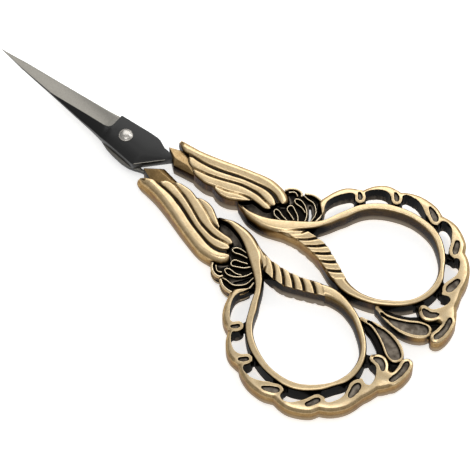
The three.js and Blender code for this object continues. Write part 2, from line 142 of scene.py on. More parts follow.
# Feathers, outermost first, each as its upper and lower edge from front to rear
FEATHERS = [
    (
        [(10.3, 6.75), (11.0, 7.0), (13, 7.15), (15.3, 7.45), (18.6, 8.25), (22.3, 9.4), (25, 10.3),
         (28.3, 11.3), (31.1, 12.05), (32.7, 12.3), (34.6, 12.2), (36.5, 11.85), (38.2, 11.0),
         (39.0, 9.95), (38.8, 9.1)],
        [(10.4, 6.55), (11.2, 5.9), (13, 5.15), (14.6, 5.35), (16.5, 5.5), (18.8, 5.75), (21.1, 6.35),
         (23.4, 7.05), (25.8, 7.95), (28.1, 8.65), (30.4, 9.25), (32.7, 9.8), (34.6, 9.95), (36.2, 9.65),
         (37.3, 9.1), (38.4, 8.8)],
    ),
    (
        [(14.5, 4.7), (15.4, 4.95), (16.5, 4.95), (19, 5.25), (21.1, 5.65), (23.4, 6.4), (25.8, 7.3),
         (28.1, 8.15), (30.4, 8.7), (32.7, 9.15), (34.6, 9.15), (36.2, 8.7), (37.4, 7.8)],
        [(14.8, 4.1), (15.8, 3.35), (17.2, 3.15), (19, 3.5), (21.1, 4.05), (23.4, 4.85), (25.8, 5.85),
         (28.1, 6.8), (30.4, 7.35), (32.7, 7.6), (35.1, 7.2), (36.6, 6.95), (37.3, 7.2)],
    ),
    (
        [(17.3, 2.75), (19, 3.15), (21.1, 3.6), (23.4, 4.4), (25.8, 5.4), (28.1, 6.3), (30.4, 6.8),
         (32.7, 7.05), (35.1, 6.8), (36.7, 6.6), (37.2, 6.2)],
        [(17.6, 2.3), (18.3, 2.05), (20, 1.85), (21.8, 1.9), (23.7, 2.5), (25.1, 2.95), (26.9, 3.55),
         (28.8, 4.4), (31.1, 5.3), (33.9, 5.5), (36.2, 5.45), (37.0, 5.8)],
    ),
    (
        [(23.9, 2.45), (25.1, 2.75), (26.9, 3.3), (28.8, 4.2), (30.6, 4.8), (32.4, 5.0)],
        [(24.1, 2.05), (24.6, 1.9), (26.2, 1.7), (28.1, 2.1), (30, 3.2), (31.3, 4.0), (32.3, 4.8)],
    ),
]
NOSE = (
    [(9.8, 6.9), (10.3, 7.3), (12.5, 7.5), (15, 7.7)],
    [(9.9, 6.6), (10.7, 6.0), (12.5, 5.45), (15, 5.6)],
)
WING_BODY = [
    (13.6, 6.3), (15.2, 7.1), (18.6, 7.9), (25, 9.75), (31.1, 11.25), (34.6, 11.3), (37.6, 10.4),
    (38.1, 9.2), (37.2, 8.2), (37.0, 7.2), (36.8, 6.0), (33.5, 5.6), (31.8, 4.8), (29.8, 3.3), (28, 2.2),
    (26, 1.75), (24.4, 1.95), (23, 2.2), (20.4, 1.9), (18.2, 2.1), (16.4, 3.2), (15.0, 4.3), (13.8, 5.4),
]

# Collar round the tang: corners of its foot and ends of its ridge, each with its height
COLLAR_FOOT = [(9.1, 3.95, 2.2), (12.9, 1.0, 2.0), (18.8, 1.98, 2.0), (18.4, 4.4, 2.2), (12.6, 5.3, 2.2)]
COLLAR_RIDGE = [(12.1, 2.4, 2.9), (15.95, 2.69, 2.95)]

# Flower behind the wing: its floor, the slot through it, and the raised lines of its petals
FLOWER_FLOOR = [
    (33.2, 5.4), (31.6, 4.4), (31.4, 3.0), (33.2, 2.4), (36.4, 2.6), (40.2, 4.4), (44.2, 7.0), (47.2, 10.0),
    (47.1, 12.1), (46.4, 13.9), (45.3, 15.0), (44, 15.5), (42, 15.35), (40.6, 14.4), (40.0, 14.0),
    (38.7, 14.25), (37.2, 13.4), (36.5, 12.4), (36.4, 11.2), (37.0, 9.0), (36.4, 7.0), (35.6, 5.6),
]
FLOWER_SLOT = [(43.1, 13.1), (44.1, 12.5), (45.0, 11.5), (45.6, 10.2), (45.6, 9.5), (45.1, 9.8),
               (44.5, 10.9), (43.7, 12.0)]
PETAL_RIMS = [
    [(36.5, 12.3), (37.2, 13.4), (38.7, 14.2), (40, 14.0), (40.4, 13.4)],
    [(40.5, 14.4), (42, 15.3), (44, 15.45), (45.3, 14.95), (46.4, 13.9), (47, 12.1), (46.9, 10.3)],
]
PETALS = [
    [(37.5, 12.4), (38.7, 13.3), (39.7, 12.9)],
    [(40.7, 13.9), (42, 13.75), (43.5, 13.8), (44.7, 13.1), (45.7, 11.9), (46.1, 9.4)],
    [(43.7, 10.7), (42.2, 11.2), (40.35, 11.25), (39.75, 11.85), (40.7, 12.5), (42.1, 12.25), (43.3, 11.5),
     (44.4, 10.3), (45.1, 8.6)],
    [(42.9, 7.6), (41.2, 8.25), (39.95, 8.75), (39.7, 9.5), (40.15, 10.15), (41.5, 9.7), (43, 8.8),
     (43.9, 7.7)],
    [(40.9, 5.6), (38.3, 6.1), (37.9, 7.05), (38.7, 7.3), (40, 6.85), (41.9, 6.5)],
]
PETAL_RIM = 0.34  # half the width of an outer line, and of an inner one
PETAL_LINE = 0.2
PETAL_STEPS = 39

# Lace border: outer edge from the flower to the rear, and back under the last eyelets to the bow
LACE_OUTER = [
    [(44.6, 14.6), (44.6, 15.3), (45, 17), (45.8, 19.4), (47, 21.3), (48.6, 22.45), (50.3, 23.1)],
    [(50.3, 23.1), (50.7, 24.1), (51.6, 25.7), (53.2, 27.3), (54.8, 28.05), (56.6, 28.25), (57.4, 28.35)],
    [(57.4, 28.35), (58.2, 29), (59.7, 29.8), (61.6, 30.4), (64, 30.6), (66, 30.4), (68.2, 29.5)],
    [(68.2, 29.5), (70, 29.75), (72, 29.65), (74, 28.9), (75.6, 28), (76.8, 27), (77.7, 25.35)],
    [(77.7, 25.35), (79.1, 24.6), (80.6, 23.3), (82.0, 21.4), (82.8, 19.3), (83.3, 17), (84.0, 15.2),
     (84.5, 13.3)],
    [(84.5, 13.3), (85.5, 12.2), (86.6, 10.4), (87.2, 8.5), (87.4, 6.5), (87.2, 4.9), (86.7, 3.8),
     (85.8, 3.35), (85.0, 3.7), (84.65, 4.8), (85.0, 6), (85.1, 7.2), (84.7, 7.95), (83.8, 8.15),
     (82.9, 7.4), (81.9, 6.7), (80.8, 6.4), (79.4, 6.9), (78.3, 7.8), (76.9, 8.6)],
]
# Windows between the border and the bow: the border's side of each
WINDOWS = [
    [(47.5, 11.9), (46.9, 13.4), (46.1, 14.9), (46.0, 16.2), (46.6, 18.0), (47.5, 19.5), (49.2, 21.2),
     (49.9, 21), (50.5, 20.1), (51.2, 19.8)],
    [(51.8, 21.6), (51.1, 23.1), (51.6, 24.2), (52.9, 25.5), (54.4, 26.3), (55.8, 26.2), (56.8, 25.5),
     (57.4, 24.9)],
    [(59.2, 25.2), (58.85, 26.3), (58.25, 27.6), (58.5, 28.5), (60, 28.9), (61.5, 29), (63.1, 28.5),
     (64.5, 27.7), (65.8, 26.8)],
    [(69.3, 26.4), (68.9, 28), (69.4, 28.7), (70.4, 28.8), (72, 28.1), (73, 26.8), (73.8, 25.7),
     (74.4, 24.4), (75, 23)],
    [(76.9, 22.3), (77.2, 22.95), (77.7, 23.2), (78.5, 22.7), (79.3, 21.4), (79.8, 20), (79.7, 18.3),
     (79.25, 16.6)],
    [(79.5, 13.7), (80.7, 13.75), (81.6, 14.25), (82.6, 14), (82.8, 13.1), (82.3, 11.4), (81.7, 10.4),
     (80.9, 9.5), (79.0, 9.25)],
]
# Eyelets sunk into the border
EYELETS = [
    [(49.9, 22.35), (50.5, 21.3), (51.2, 20.7), (51.6, 20.95), (51.5, 21.6), (50.9, 22.2)],
    [(56.3, 27.45), (56.9, 26.4), (57.8, 25.7), (58.25, 25.95), (58.05, 26.75), (57.2, 27.4)],
    [(64.6, 29.5), (65.5, 28.4), (66.9, 27.5), (67.9, 27.2), (68.3, 27.7), (67.8, 28.6), (66.6, 29.25),
     (65.4, 29.6)],
    [(74.6, 26.6), (74.9, 25.2), (75.5, 23.9), (76.2, 23.4), (76.7, 23.8), (76.5, 24.9), (75.9, 26.0),
     (75.2, 26.75)],
    [(80.9, 19.2), (80.2, 17.6), (80.0, 16.0), (80.5, 15.05), (81.3, 15.2), (81.75, 16.4), (81.7, 18.0),
     (81.4, 19.1)],
    [(79.2, 8.3), (79.7, 7.5), (80.8, 7.1), (82.0, 7.6), (82.9, 8.8), (82.9, 9.5), (82.2, 9.4),
     (81.2, 8.75), (80.1, 8.6)],
    [(85.3, 10.4), (85.2, 9.2), (85.5, 7.6), (85.4, 6.0), (85.2, 4.6), (85.7, 4.0), (86.3, 4.3),
     (86.75, 5.6), (86.8, 7.2), (86.5, 9.0), (86.0, 10.2)],
]
LEAF_OUTLINE = [
    (70.6, 2.1), (73.6, 2.36), (75.9, 3.02), (78.4, 4.27), (81.1, 5.92), (82.8, 6.2), (83.95, 5.5),
    (84.3, 4.1), (83.9, 3.2), (82.4, 1.85), (80, 0.85), (77, 0.58), (74, 0.9), (72, 1.5),
]
LEAF_HOLLOW = [
    (73.9, 1.85), (75.95, 2.5), (78.55, 3.75), (81.3, 5.42), (82.65, 5.62), (83.45, 5.0), (83.7, 4.1),
    (82.75, 3.0), (81.2, 2.08), (79.4, 1.47), (76.85, 1.14), (74.9, 1.35), (72.4, 1.78),
]
LEAF_WEB = [
    (72.5, 1.9), (72.5, 2.8), (75.3, 4.0), (77.8, 5.3), (79.6, 6.6), (81.0, 6.3), (81.0, 5.2), (78.4, 3.6),
    (75.9, 2.4),
]
WEB_OUTLINE = [(81.6, 6.2), (82.6, 8.4), (84.6, 8.8), (85.8, 7), (85.8, 4.8), (84, 3.6), (82.4, 4.8)]

# Blade: places across it and heights, each as (x, value)
TIP = -38.1
POINT = -36  # edges ahead of this stay sharp
PLUNGE = -4.1  # where the ground bevel ends in a wall, and the rounding of that end
PLUNGE_ROUND = 1.5
HEEL = 5.9
NECK_END = 12.4
EDGE_LAND = 0.08  # thickness of the cutting edge
EDGE_BREAK = 0.06  # bevel of the crisp edges, and of the heel's rubbed one
HEEL_WEAR = 0.16
EDGE = [(TIP, 0.0), (-30.9, 0.92), (-20.9, 1.88), (-10.9, 2.78), (-5.9, 3.22), (PLUNGE, 3.4)]
RIDGE = [(TIP, 0.0), (-31, -0.99), (-21, -1.84), (-10.4, -1.2), (-5.1, -1.0)]
RIDGE_HEIGHT = [(TIP, 0.2), (-31, 0.45), (-21, 0.78), (-10.4, 1.65), (-5.1, 2.2)]
SPINE = [(TIP, 0.0), (-31, -1.05), (-21, -2.0), (-11, -3.05), (-8, -3.35), (-6, -3.65), (-4.2, -3.95),
         (6, -4.85), (NECK_END, 2.2)]
SPINE_HEIGHT = [(TIP, 0.2), (-31, 0.42), (-21, 0.72), (-11, 0.85), (-6, 1.5), (-2, 2.2), (13, 2.2)]
FULL = [(PLUNGE, BLADE), (NECK_END, BLADE)]
SHOULDER = [(PLUNGE, 3.45), (0, 3.8), (4, 4.15), (6, 4.2), (7, 4.05), (8, 3.6), (9, 3.15), (10, 3.1),
            (NECK_END, 2.6)]
# The lower blade's shoulder is ground thin, and its neck is narrow
LOWER_SPINE = SPINE[:7] + [(4.6, -4.7), (6.0, 0.6), (6.6, 2.6), (7.3, 3.35), (9.5, 3.4), (NECK_END, 2.5)]
LOWER_SHOULDER = [(PLUNGE, 3.9), (-2, 4.6), (0, 4.95), (3, 5.2), (5, 5.05), (6.5, 4.6), (7.5, 4.15),
                  (9, 3.8), (NECK_END, 3.2)]
LOWER_EDGE = [(PLUNGE, 0.3), (0, 0.8), (4, 1.1), (12, 1.2)]
LOWER_FULL = [(PLUNGE, BLADE), (4, BLADE), (8, 1.2), (NECK_END, 1.2)]
GROUND_STEPS = 33  # sections along the bevel and round its end, and the places of those behind it
ROUND_STEPS = 8
FLATS = (PLUNGE, -3, -2, -1, 0, 1, 2, 3, 4, 4.6, 5.1, 5.6, 6, 6.2, 6.5, 6.9, 7.3, 7.7, 8, 8.5, 9, 9.5, 10,
         11, 12.2)

RIVET_PROFILE = [(0, 2.72), (0.5, 2.69), (0.95, 2.6), (1.25, 2.48), (1.36, 2.38), (1.44, 2.36),
                 (1.52, 2.42), (1.62, 2.36), (1.64, 2.2), (1.1, 2.1), (1.1, 0)]


def smooth_line(points, step=0.25, closed=False):
    """Points at about this spacing along a smooth curve through the given ones."""
    knots = [Vector((x, y, 0)) for x, y in points]
    if closed:
        knots = knots + [knots[0]]
    last = len(knots) - 1

    def heading(i):
        before = knots[i - 1] if i > 0 else (knots[-2] if closed else knots[0])
        after = knots[i + 1] if i < last else (knots[1] if closed else knots[last])
        way = Vector((0, 0, 0))
        for side in (knots[i] - before, after - knots[i]):
            if side.length > 0:
                way += side.normalized()
        return way.normalized()

    line = []
    for i in range(last):
        a, b = knots[i], knots[i + 1]
        reach = (b - a).length / 3
        count = max(2, round(3 * reach / step) + 1)
        leave, arrive = a + heading(i) * reach, b - heading(i + 1) * reach
        line += geometry.interpolate_bezier(a, leave, arrive, b, count)[:-1]
    return line if closed else line + [knots[last]]


def even(line, count):
    """The same line with this many points, equally far apart."""
    lengths = [0.0]
    for a, b in zip(line, line[1:]):
        lengths.append(lengths[-1] + (b - a).length)
    out = []
    i = 0
    for k in range(count):
        want = lengths[-1] * k / (count - 1)
        while i < len(line) - 2 and lengths[i + 1] < want:
            i += 1
        span = lengths[i + 1] - lengths[i]
        out.append(line[i].lerp(line[i + 1], (want - lengths[i]) / span if span else 0))
    return out


def along(line, s):
    """The point at the share s of an even line."""
    at = min(max(s, 0), 1) * (len(line) - 1)
    i = min(int(at), len(line) - 2)
    return line[i].lerp(line[i + 1], at - i)


def part_way(x, start, end):
    """How far x has gone from start to end, from 0 to 1."""
    return min(max((x - start) / (end - start), 0), 1)


def value(table, x):
    """The value at x of a list of (x, value), on straight lines between them."""
    for (xa, a), (xb, b) in zip(table, table[1:]):
        if x <= xb:
            return a + (b - a) * max(0.0, x - xa) / (xb - xa)
    return table[-1][1]


def closed_mesh(bm):
    """Merges the seams, closes the ends and turns the faces outwards."""
    bmesh.ops.remove_doubles(bm, verts=bm.verts[:], dist=1e-4)
    bmesh.ops.holes_fill(bm, edges=[e for e in bm.edges if e.is_boundary], sides=0)
    bmesh.ops.recalc_face_normals(bm, faces=bm.faces[:])
    if bm.calc_volume(signed=True) < 0:
        bmesh.ops.reverse_faces(bm, faces=bm.faces[:])
    bm.normal_update()
    return bm


def tube(place, steps, sides):
    """A closed tube: a grid whose points are moved to place(s, t), joined along t = 0 and t = 1."""
    bm = bmesh.new()
    bmesh.ops.create_grid(bm, x_segments=steps, y_segments=sides, size=1)
    for v in bm.verts:
        v.co = place((v.co.x + 1) / 2, (v.co.y + 1) / 2)
    return closed_mesh(bm)


def bar(left, right, height, rounds, grow=(0, 0), crown=0.0, steps=120, turn=5):
    """A bar between two edges, alike above and below the middle plane. rounds gives the width and height of
    the rounding on its left and right, grow moves these edges out, and crown raises its middle."""
    a_line, b_line = even(smooth_line(left), steps + 1), even(smooth_line(right), steps + 1)
    sides = 4 * (turn + 1)

    def place(s, t):
        a, b = along(a_line, s), along(b_line, s)
        across = (b - a).normalized()
        a, b = a - across * grow[0], b + across * grow[1]
        half = (b - a).length / 2
        corner, step = divmod(round(t * sides) % sides, turn + 1)
        angle = math.pi / 2 * (corner + step / turn)
        right, top = corner in (0, 3), corner < 2
        round_x, round_z = rounds[1] if right else rounds[0]
        round_x *= min(1, 1.9 * half / (rounds[0][0] + rounds[1][0]))  # where the bar is narrow
        x = (half - round_x) * (1 if right else -1) + round_x * math.cos(angle)
        p = (a + b) / 2 + across * x
        rise = height(s, p.x) if callable(height) else height
        p.z = (rise - round_z) * (1 if top else -1) + round_z * math.sin(angle)
        p.z += crown * (1 - (x / half) ** 2) * (1 if top else -1)
        return p

    return tube(place, steps, sides)


def inset(line, amount):
    """An open line moved to its right by that amount."""
    out = []
    for i, p in enumerate(line):
        way = (line[min(i + 1, len(line) - 1)] - line[max(i - 1, 0)]).normalized()
        out.append(p + Vector((way.y, -way.x, 0)) * amount)
    return out


def eased(line, times):
    """An open line with its corners softened, at points 0.2 mm apart."""
    length = sum((b - a).length for a, b in zip(line, line[1:]))
    line = even(line, round(length / 0.2))
    for _ in range(times):
        line[1:-1] = [(a + 2 * b + c) / 4 for a, b, c in zip(line, line[1:], line[2:])]
    return line


def grown(loop, amount):
    """A closed line moved outwards by that amount."""
    area = sum(a.x * b.y - b.x * a.y for a, b in zip(loop, loop[1:] + loop[:1]))
    out = []
    for i, p in enumerate(loop):
        way = (loop[(i + 1) % len(loop)] - loop[i - 1]).normalized()
        out.append(p + Vector((way.y, -way.x, 0)) * math.copysign(amount, area))
    return out


def inside(loop, x, y):
    """Whether a point lies within a closed line."""
    found = False
    for a, b in zip(loop, loop[1:] + loop[:1]):
        if (a.y > y) != (b.y > y) and x < a.x + (b.x - a.x) * (y - a.y) / (b.y - a.y):
            found = not found
    return found


def slab(outline, low, high, holes=()):
    """A flat plate of that outline between two heights."""
    bm = bmesh.new()
    edges = []
    for loop in (outline, *holes):
        ring = [bm.verts.new((p.x, p.y, low)) for p in loop]
        edges += [bm.edges.new((ring[i - 1], ring[i])) for i in range(len(ring))]
    filled = bmesh.ops.triangle_fill(bm, use_beauty=True, use_dissolve=False, edges=edges)["geom"]
    faces = [f for f in filled if isinstance(f, bmesh.types.BMFace)]
    raised = bmesh.ops.extrude_face_region(bm, geom=faces, use_keep_orig=True)["geom"]
    lifted = [v for v in raised if isinstance(v, bmesh.types.BMVert)]
    bmesh.ops.translate(bm, verts=lifted, vec=(0, 0, high - low))
    return closed_mesh(bm)


def both_faces(outline, low, high, holes=()):
    """A plate on the upper face and its twin on the lower one."""
    return [slab(outline, low, high, holes), slab(outline, -high, -low, holes)]


def joined(shapes):
    """One bmesh from several."""
    whole = bmesh.new()
    for shape in shapes:
        mesh = bpy.data.meshes.new("joined")
        shape.to_mesh(mesh)
        shape.free()
        whole.from_mesh(mesh)
        bpy.data.meshes.remove(mesh)
    return whole


def wing_height(x):
    """The height of the wing at x, with a soft fall from its front to the bow."""
    t = part_way(x, *WING_FALL)
    return WING + (BOW - WING) * t * t * (3 - 2 * t)


BOW_STEPS = 400
bow_edge, hole_edge = [even(smooth_line(points), BOW_STEPS + 1) for points in (BOW_OUTER, BOW_INNER)]


def bow_band(s, share):
    """A point of the bow's band at the share s of its length, from its outer edge (0) to the hole (1)."""
    return along(bow_edge, s).lerp(along(hole_edge, s), share)


def bow_share(point):
    """Where along the bow a point of the border meets it."""
    return min(range(BOW_STEPS + 1), key=lambda k: (bow_edge[k] - point).length) / BOW_STEPS


def from_bow(point):
    """How far a point lies from the bow's outer edge."""
    return min((p - point).length for p in bow_edge)


def beside_bow(start, end, share, count=24):
    """Points inside the bow's band, from beside one point to beside another."""
    a, b = bow_share(start), bow_share(end)
    return [bow_band(a + (b - a) * k / count, share) for k in range(count + 1)]


def border_edge(windows, eyelets, end):
    """The raised border's edge towards the bow: along each window, and round the head of each eyelet."""
    sides = [[p for p in side if from_bow(p) > BRIDGE_GAP] for side in windows]
    line = []
    for side, eyelet, after in zip(sides, eyelets, [side[0] for side in sides[1:]] + [end]):
        line += side
        head = grown(eyelet, EYELET_RIM)
        start, goal = [min(range(len(head)), key=lambda i: (head[i] - p).length) for p in (side[-1], after)]
        ways = []
        for step in (1, -1):
            count = (goal - start) * step % len(head)
            ways.append([head[(start + k * step) % len(head)] for k in range(count + 1)])
        line += min(ways, key=lambda way: min(from_bow(p) for p in way))
    return eased(line, 6)


# Casting, as it lies in the upper half

def cast_bow():
    def height(s, x):
        return BOW * min(1.0, 0.7 + 9 * s)
    return [bar(BOW_OUTER, BOW_INNER, height, ((0.6, 0.55), (1.3, 1.6)), (0.16, 0.22), 0.2, steps=360)]


def cast_twist():
    core = bar(TWIST_OUTER, TWIST_INNER, BOW - CORE_DROP, ((0.5, 0.4), (0.5, 0.5)), (0.18, 0.1))
    rail = bar(TWIST_OUTER, TWIST_RAIL, BOW - RAIL_DROP, ((0.5, 0.4), (0.6, 0.6)), (0.18, 0), 0.1)
    strands = [bar(*TWIST_START, BOW - STRAND_DROP, ((0.5, 0.4), (0.5, 0.5)), (0, 0), 0.2, steps=28)]
    for a, b in zip(GROOVES, GROOVES[1:]):
        rounds = ((0.9, 0.75), (0.4, 0.55))
        strands.append(bar(a, b, BOW - STRAND_DROP, rounds, (-0.04, 0.02), 0.25, steps=28))
    return [core, rail, *strands]


def cast_wing():
    body = slab(smooth_line(WING_BODY, closed=True), -1, 1)
    for v in body.verts:
        v.co.z *= wing_height(v.co.x) - FEATHER_RELIEF

    def nose_height(s, x):
        return NOSE_HEIGHT * min(1.0, 0.6 + s)

    shapes = [body, bar(*NOSE, nose_height, ((1.0, 1.4), (0.6, 1.4)), steps=40)]
    for k, (upper, lower) in enumerate(FEATHERS):
        def height(s, x):
            return wing_height(x) * min(1.0, (0.82 if k == 0 else 0.93) + 1.8 * s) - FEATHER_DROP
        outer = (1.6, 1.25) if k == 0 else (0.5, 0.45)
        grow = (0.35, 0.2) if k == 0 else (0.2, 0.2)
        shapes.append(bar(upper, lower, height, (outer, (0.5, 0.45)), grow, FEATHER_CROWN, steps=140))
    return shapes


def cast_flower():
    floor, slot = [smooth_line(points, closed=True) for points in (FLOWER_FLOOR, FLOWER_SLOT)]
    return [slab(floor, -FLOWER, FLOWER, [slot])]


def cast_lace():
    outer = [p for scallop in LACE_OUTER for p in smooth_line(scallop)[:-1]]
    windows = [smooth_line(side) for side in WINDOWS]
    eyelets = [smooth_line(points, closed=True) for points in EYELETS]
    openings = [side + beside_bow(side[-1], side[0], 0.35) for side in windows]
    within_bow = beside_bow(outer[-1], outer[0], 0.7, 80)
    shapes = [slab(inset(outer, -LACE_SWELL) + within_bow, -LACE_BRIDGE, LACE_BRIDGE, openings)]
    raised = [p for p in outer if from_bow(p) > BRIDGE_GAP]
    edge = border_edge(windows, eyelets, raised[-1])[::-1]
    shapes.append(slab(inset(raised, -LACE_SWELL) + edge, -EYELET_FLOOR, EYELET_FLOOR))
    for depth, back in LACE_STEPS:
        shapes += both_faces(inset(raised, back) + edge, EYELET_FLOOR - ROOT, LACE - depth, eyelets)
    for eyelet in eyelets:
        shapes.append(slab(grown(eyelet, EYELET_RIM), -EYELET_FLOOR, EYELET_FLOOR))
        for depth, back in RIM_STEPS:
            rim = grown(eyelet, EYELET_RIM - back)
            shapes += both_faces(rim, EYELET_FLOOR - ROOT, LACE - depth, [eyelet])
    return shapes


def cast_leaf():
    outline = smooth_line(LEAF_OUTLINE, closed=True)
    hollow = smooth_line(LEAF_HOLLOW, closed=True)
    webs = [slab(smooth_line(points, closed=True), -WEB, WEB) for points in (LEAF_WEB, WEB_OUTLINE)]
    rims = both_faces(outline, LEAF_FLOOR - ROOT, LEAF, [hollow])
    return [slab(outline, -LEAF_FLOOR, LEAF_FLOOR), *rims, *webs]


def cast_in_one(shapes):
    """Melts the shapes into one skin, softens it as casting and tumbling do, and thins its triangles."""
    whole = joined(shapes)
    mesh = bpy.data.meshes.new("casting")
    whole.to_mesh(mesh)
    whole.free()
    holder = bpy.data.objects.new("casting", mesh)
    bpy.context.scene.collection.objects.link(holder)
    melt = holder.modifiers.new("melt", "REMESH")
    melt.mode = "VOXEL"
    melt.voxel_size = VOXEL
    soften = holder.modifiers.new("soften", "SMOOTH")
    soften.factor = 0.5
    soften.iterations = 4
    thin = holder.modifiers.new("thin", "DECIMATE")
    thin.ratio = CAST_SHARE
    ready = holder.evaluated_get(bpy.context.evaluated_depsgraph_get())
    cast = bpy.data.meshes.new_from_object(ready)
    bpy.data.objects.remove(holder)
    bpy.data.meshes.remove(mesh)
    slopes = [Vector((n.vector.x, n.vector.y, 0)) for n in cast.vertex_normals]
    for v, slope in zip(cast.vertices, slopes):
        v.co += slope * (DRAFT * max(0, BOW / 2 - abs(v.co.z)))
    return cast


def fall_away(mesh):
    """Lowers the top of the border towards its outer edge, on both faces."""
    rim = [p for scallop in LACE_OUTER for p in smooth_line(scallop) if from_bow(p) > FALL_CLEAR]
    tree = KDTree(len(rim))
    for i, p in enumerate(rim):
        tree.insert(p, i)
    tree.balance()
    for v in mesh.vertices:
        beside = tree.find((v.co.x, v.co.y, 0))[2]
        if beside < FALL_WIDTH:
            v.co.z *= 1 - FALL * (1 - beside / FALL_WIDTH) ** 2


def petal_lines():
    """The raised outlines of the flower, on both faces: ribs that stand in its floor."""
    shapes = []
    middle, rise = (PETAL_TOP + FLOWER - PETAL_ROOT) / 2, (PETAL_TOP - FLOWER + PETAL_ROOT) / 2
    for points in PETAL_RIMS + PETALS:
        half = PETAL_RIM if points in PETAL_RIMS else PETAL_LINE
        line = even(smooth_line(points), PETAL_STEPS + 1)
        for face in (1, -1):
            def place(s, t):
                p = along(line, s)
                way = (along(line, s + 0.02) - along(line, s - 0.02)).normalized()
                side = Vector((-way.y, way.x, 0))
                p = p + side * (half * math.cos(2 * math.pi * t))
                p.z = face * (middle + rise * math.sin(2 * math.pi * t))
                return p
            shapes.append(tube(place, PETAL_STEPS, 10))
    return joined(shapes)


def collar():
    """A hip-roofed sleeve round the tang."""
    bm = bmesh.new()
    for face in (1, -1):
        for x, y, z in COLLAR_FOOT + COLLAR_RIDGE:
            bm.verts.new((x, y, face * z))
    bmesh.ops.convex_hull(bm, input=bm.verts[:])
    bmesh.ops.dissolve_limit(bm, angle_limit=0.01, verts=bm.verts[:], edges=bm.edges[:])
    bmesh.ops.bevel(bm, geom=bm.edges[:], offset=0.1, segments=2, profile=0.5, affect="EDGES", material=-1)
    return closed_mesh(bm)


def blade(shoulder, spine, edge_height, full):
    """One blade: sections of six points along it, a rounded end to its ground bevel, and a rubbed heel."""
    def bevel_at(x, y):
        edge, ridge = value(EDGE, x), value(RIDGE, x)
        low = BLADE_GAP + EDGE_LAND
        return low + (value(RIDGE_HEIGHT, x) - low) * (edge - y) / max(edge - ridge, 1e-6)

    def ground(x):
        y = value(RIDGE, x)
        wall = x - (PLUNGE - PLUNGE_ROUND)
        if wall > 0:
            y += PLUNGE_ROUND - math.sqrt(max(PLUNGE_ROUND ** 2 - wall ** 2, 0))
        foot = min(bevel_at(x, y), value(RIDGE_HEIGHT, x))
        edge, back = value(EDGE, x), value(spine, x)
        return [(edge, BLADE_GAP), (edge, BLADE_GAP + EDGE_LAND), (y, foot), (y, value(RIDGE_HEIGHT, x)),
                (back, value(SPINE_HEIGHT, x)), (back, BLADE_GAP)]

    def flat(x):
        top, back, thick = value(shoulder, x), value(spine, x), value(full, x)
        middle = top + (back - top) * 0.5
        beyond = middle + (back - top) * 0.1
        return [(top, BLADE_GAP), (top, value(edge_height, x)), (middle, thick), (beyond, thick),
                (back, min(value(SPINE_HEIGHT, x), thick)), (back, BLADE_GAP)]

    sections = []
    for k in range(GROUND_STEPS + 1):
        x = TIP + (PLUNGE - PLUNGE_ROUND - TIP) * k / GROUND_STEPS
        sections.append((x, ground(x)))
    for k in range(1, ROUND_STEPS + 1):
        x = PLUNGE - PLUNGE_ROUND + PLUNGE_ROUND * math.sin(math.pi / 2 * k / ROUND_STEPS)
        sections.append((x, ground(x)))
    for x in FLATS:
        sections.append((x, flat(x)))

    def place(s, t):
        x, section = sections[round(s * (len(sections) - 1))]
        y, z = section[round(t * 6) % 6]
        return Vector((x, y, z))

    bm = tube(place, len(sections) - 1, 6)
    for f in bm.faces:
        middle = f.calc_center_median()
        slope = f.normal.y > 0.15 and f.normal.z > 0.3
        f.material_index = 1 if f.normal.z < -0.9 or (middle.x < PLUNGE and slope) else 0
    crisp = [e for e in bm.edges if e.is_manifold and e.calc_face_angle() > 0.4 and e.verts[0].co.x > POINT]
    rubbed = [
        e for e in crisp
        if min(v.co.x for v in e.verts) > HEEL and min(v.co.z for v in e.verts) > BLADE - 0.01
        and max(v.co.y - value(spine, v.co.x) for v in e.verts) < 0.01
    ]
    broken = [e for e in crisp if e not in rubbed]
    bmesh.ops.bevel(bm, geom=broken, offset=EDGE_BREAK, segments=2, profile=0.5, affect="EDGES", material=-1)
    rubbed = [e for e in rubbed if e.is_valid]
    worn = bmesh.ops.bevel(
        bm, geom=rubbed, offset=HEEL_WEAR, segments=2, profile=0.5, affect="EDGES", material=-1)
    for f in worn["faces"]:
        f.material_index = 1
    return bm


def rivet():
    bm = bmesh.new()
    for face in (1, -1):
        line = [bm.verts.new((r, 0, face * z)) for r, z in RIVET_PROFILE]
        edges = [bm.edges.new(pair) for pair in zip(line, line[1:])]
        bmesh.ops.spin(bm, geom=line + edges, axis=(0, 0, 1), cent=(0, 0, 0), steps=64, angle=2 * math.pi,
                       use_merge=True)
    return closed_mesh(bm)


# Wear of the casting, and painted shade

def hemisphere(count):
    """Directions spread evenly over the half sphere about +Z, denser towards it."""
    golden = math.pi * (3 - math.sqrt(5))
    out = []
    for k in range(count):
        r = math.sqrt((k + 0.5) / count)
        out.append(Vector((r * math.cos(golden * k), r * math.sin(golden * k), math.sqrt(1 - r * r))))
    return out


def tops_nearby(verts):
    """The greatest height above the middle plane near each square of a grid."""
    tops = {}
    for v in verts:
        square = (round(v.co.x / WEAR_SQUARE), round(v.co.y / WEAR_SQUARE))
        tops[square] = max(tops.get(square, 0), abs(v.co.z))
    around = range(-WEAR_SQUARES, WEAR_SQUARES + 1)
    return {(i, j): max(tops.get((i + a, j + b), 0) for a in around for b in around) for i, j in tops}


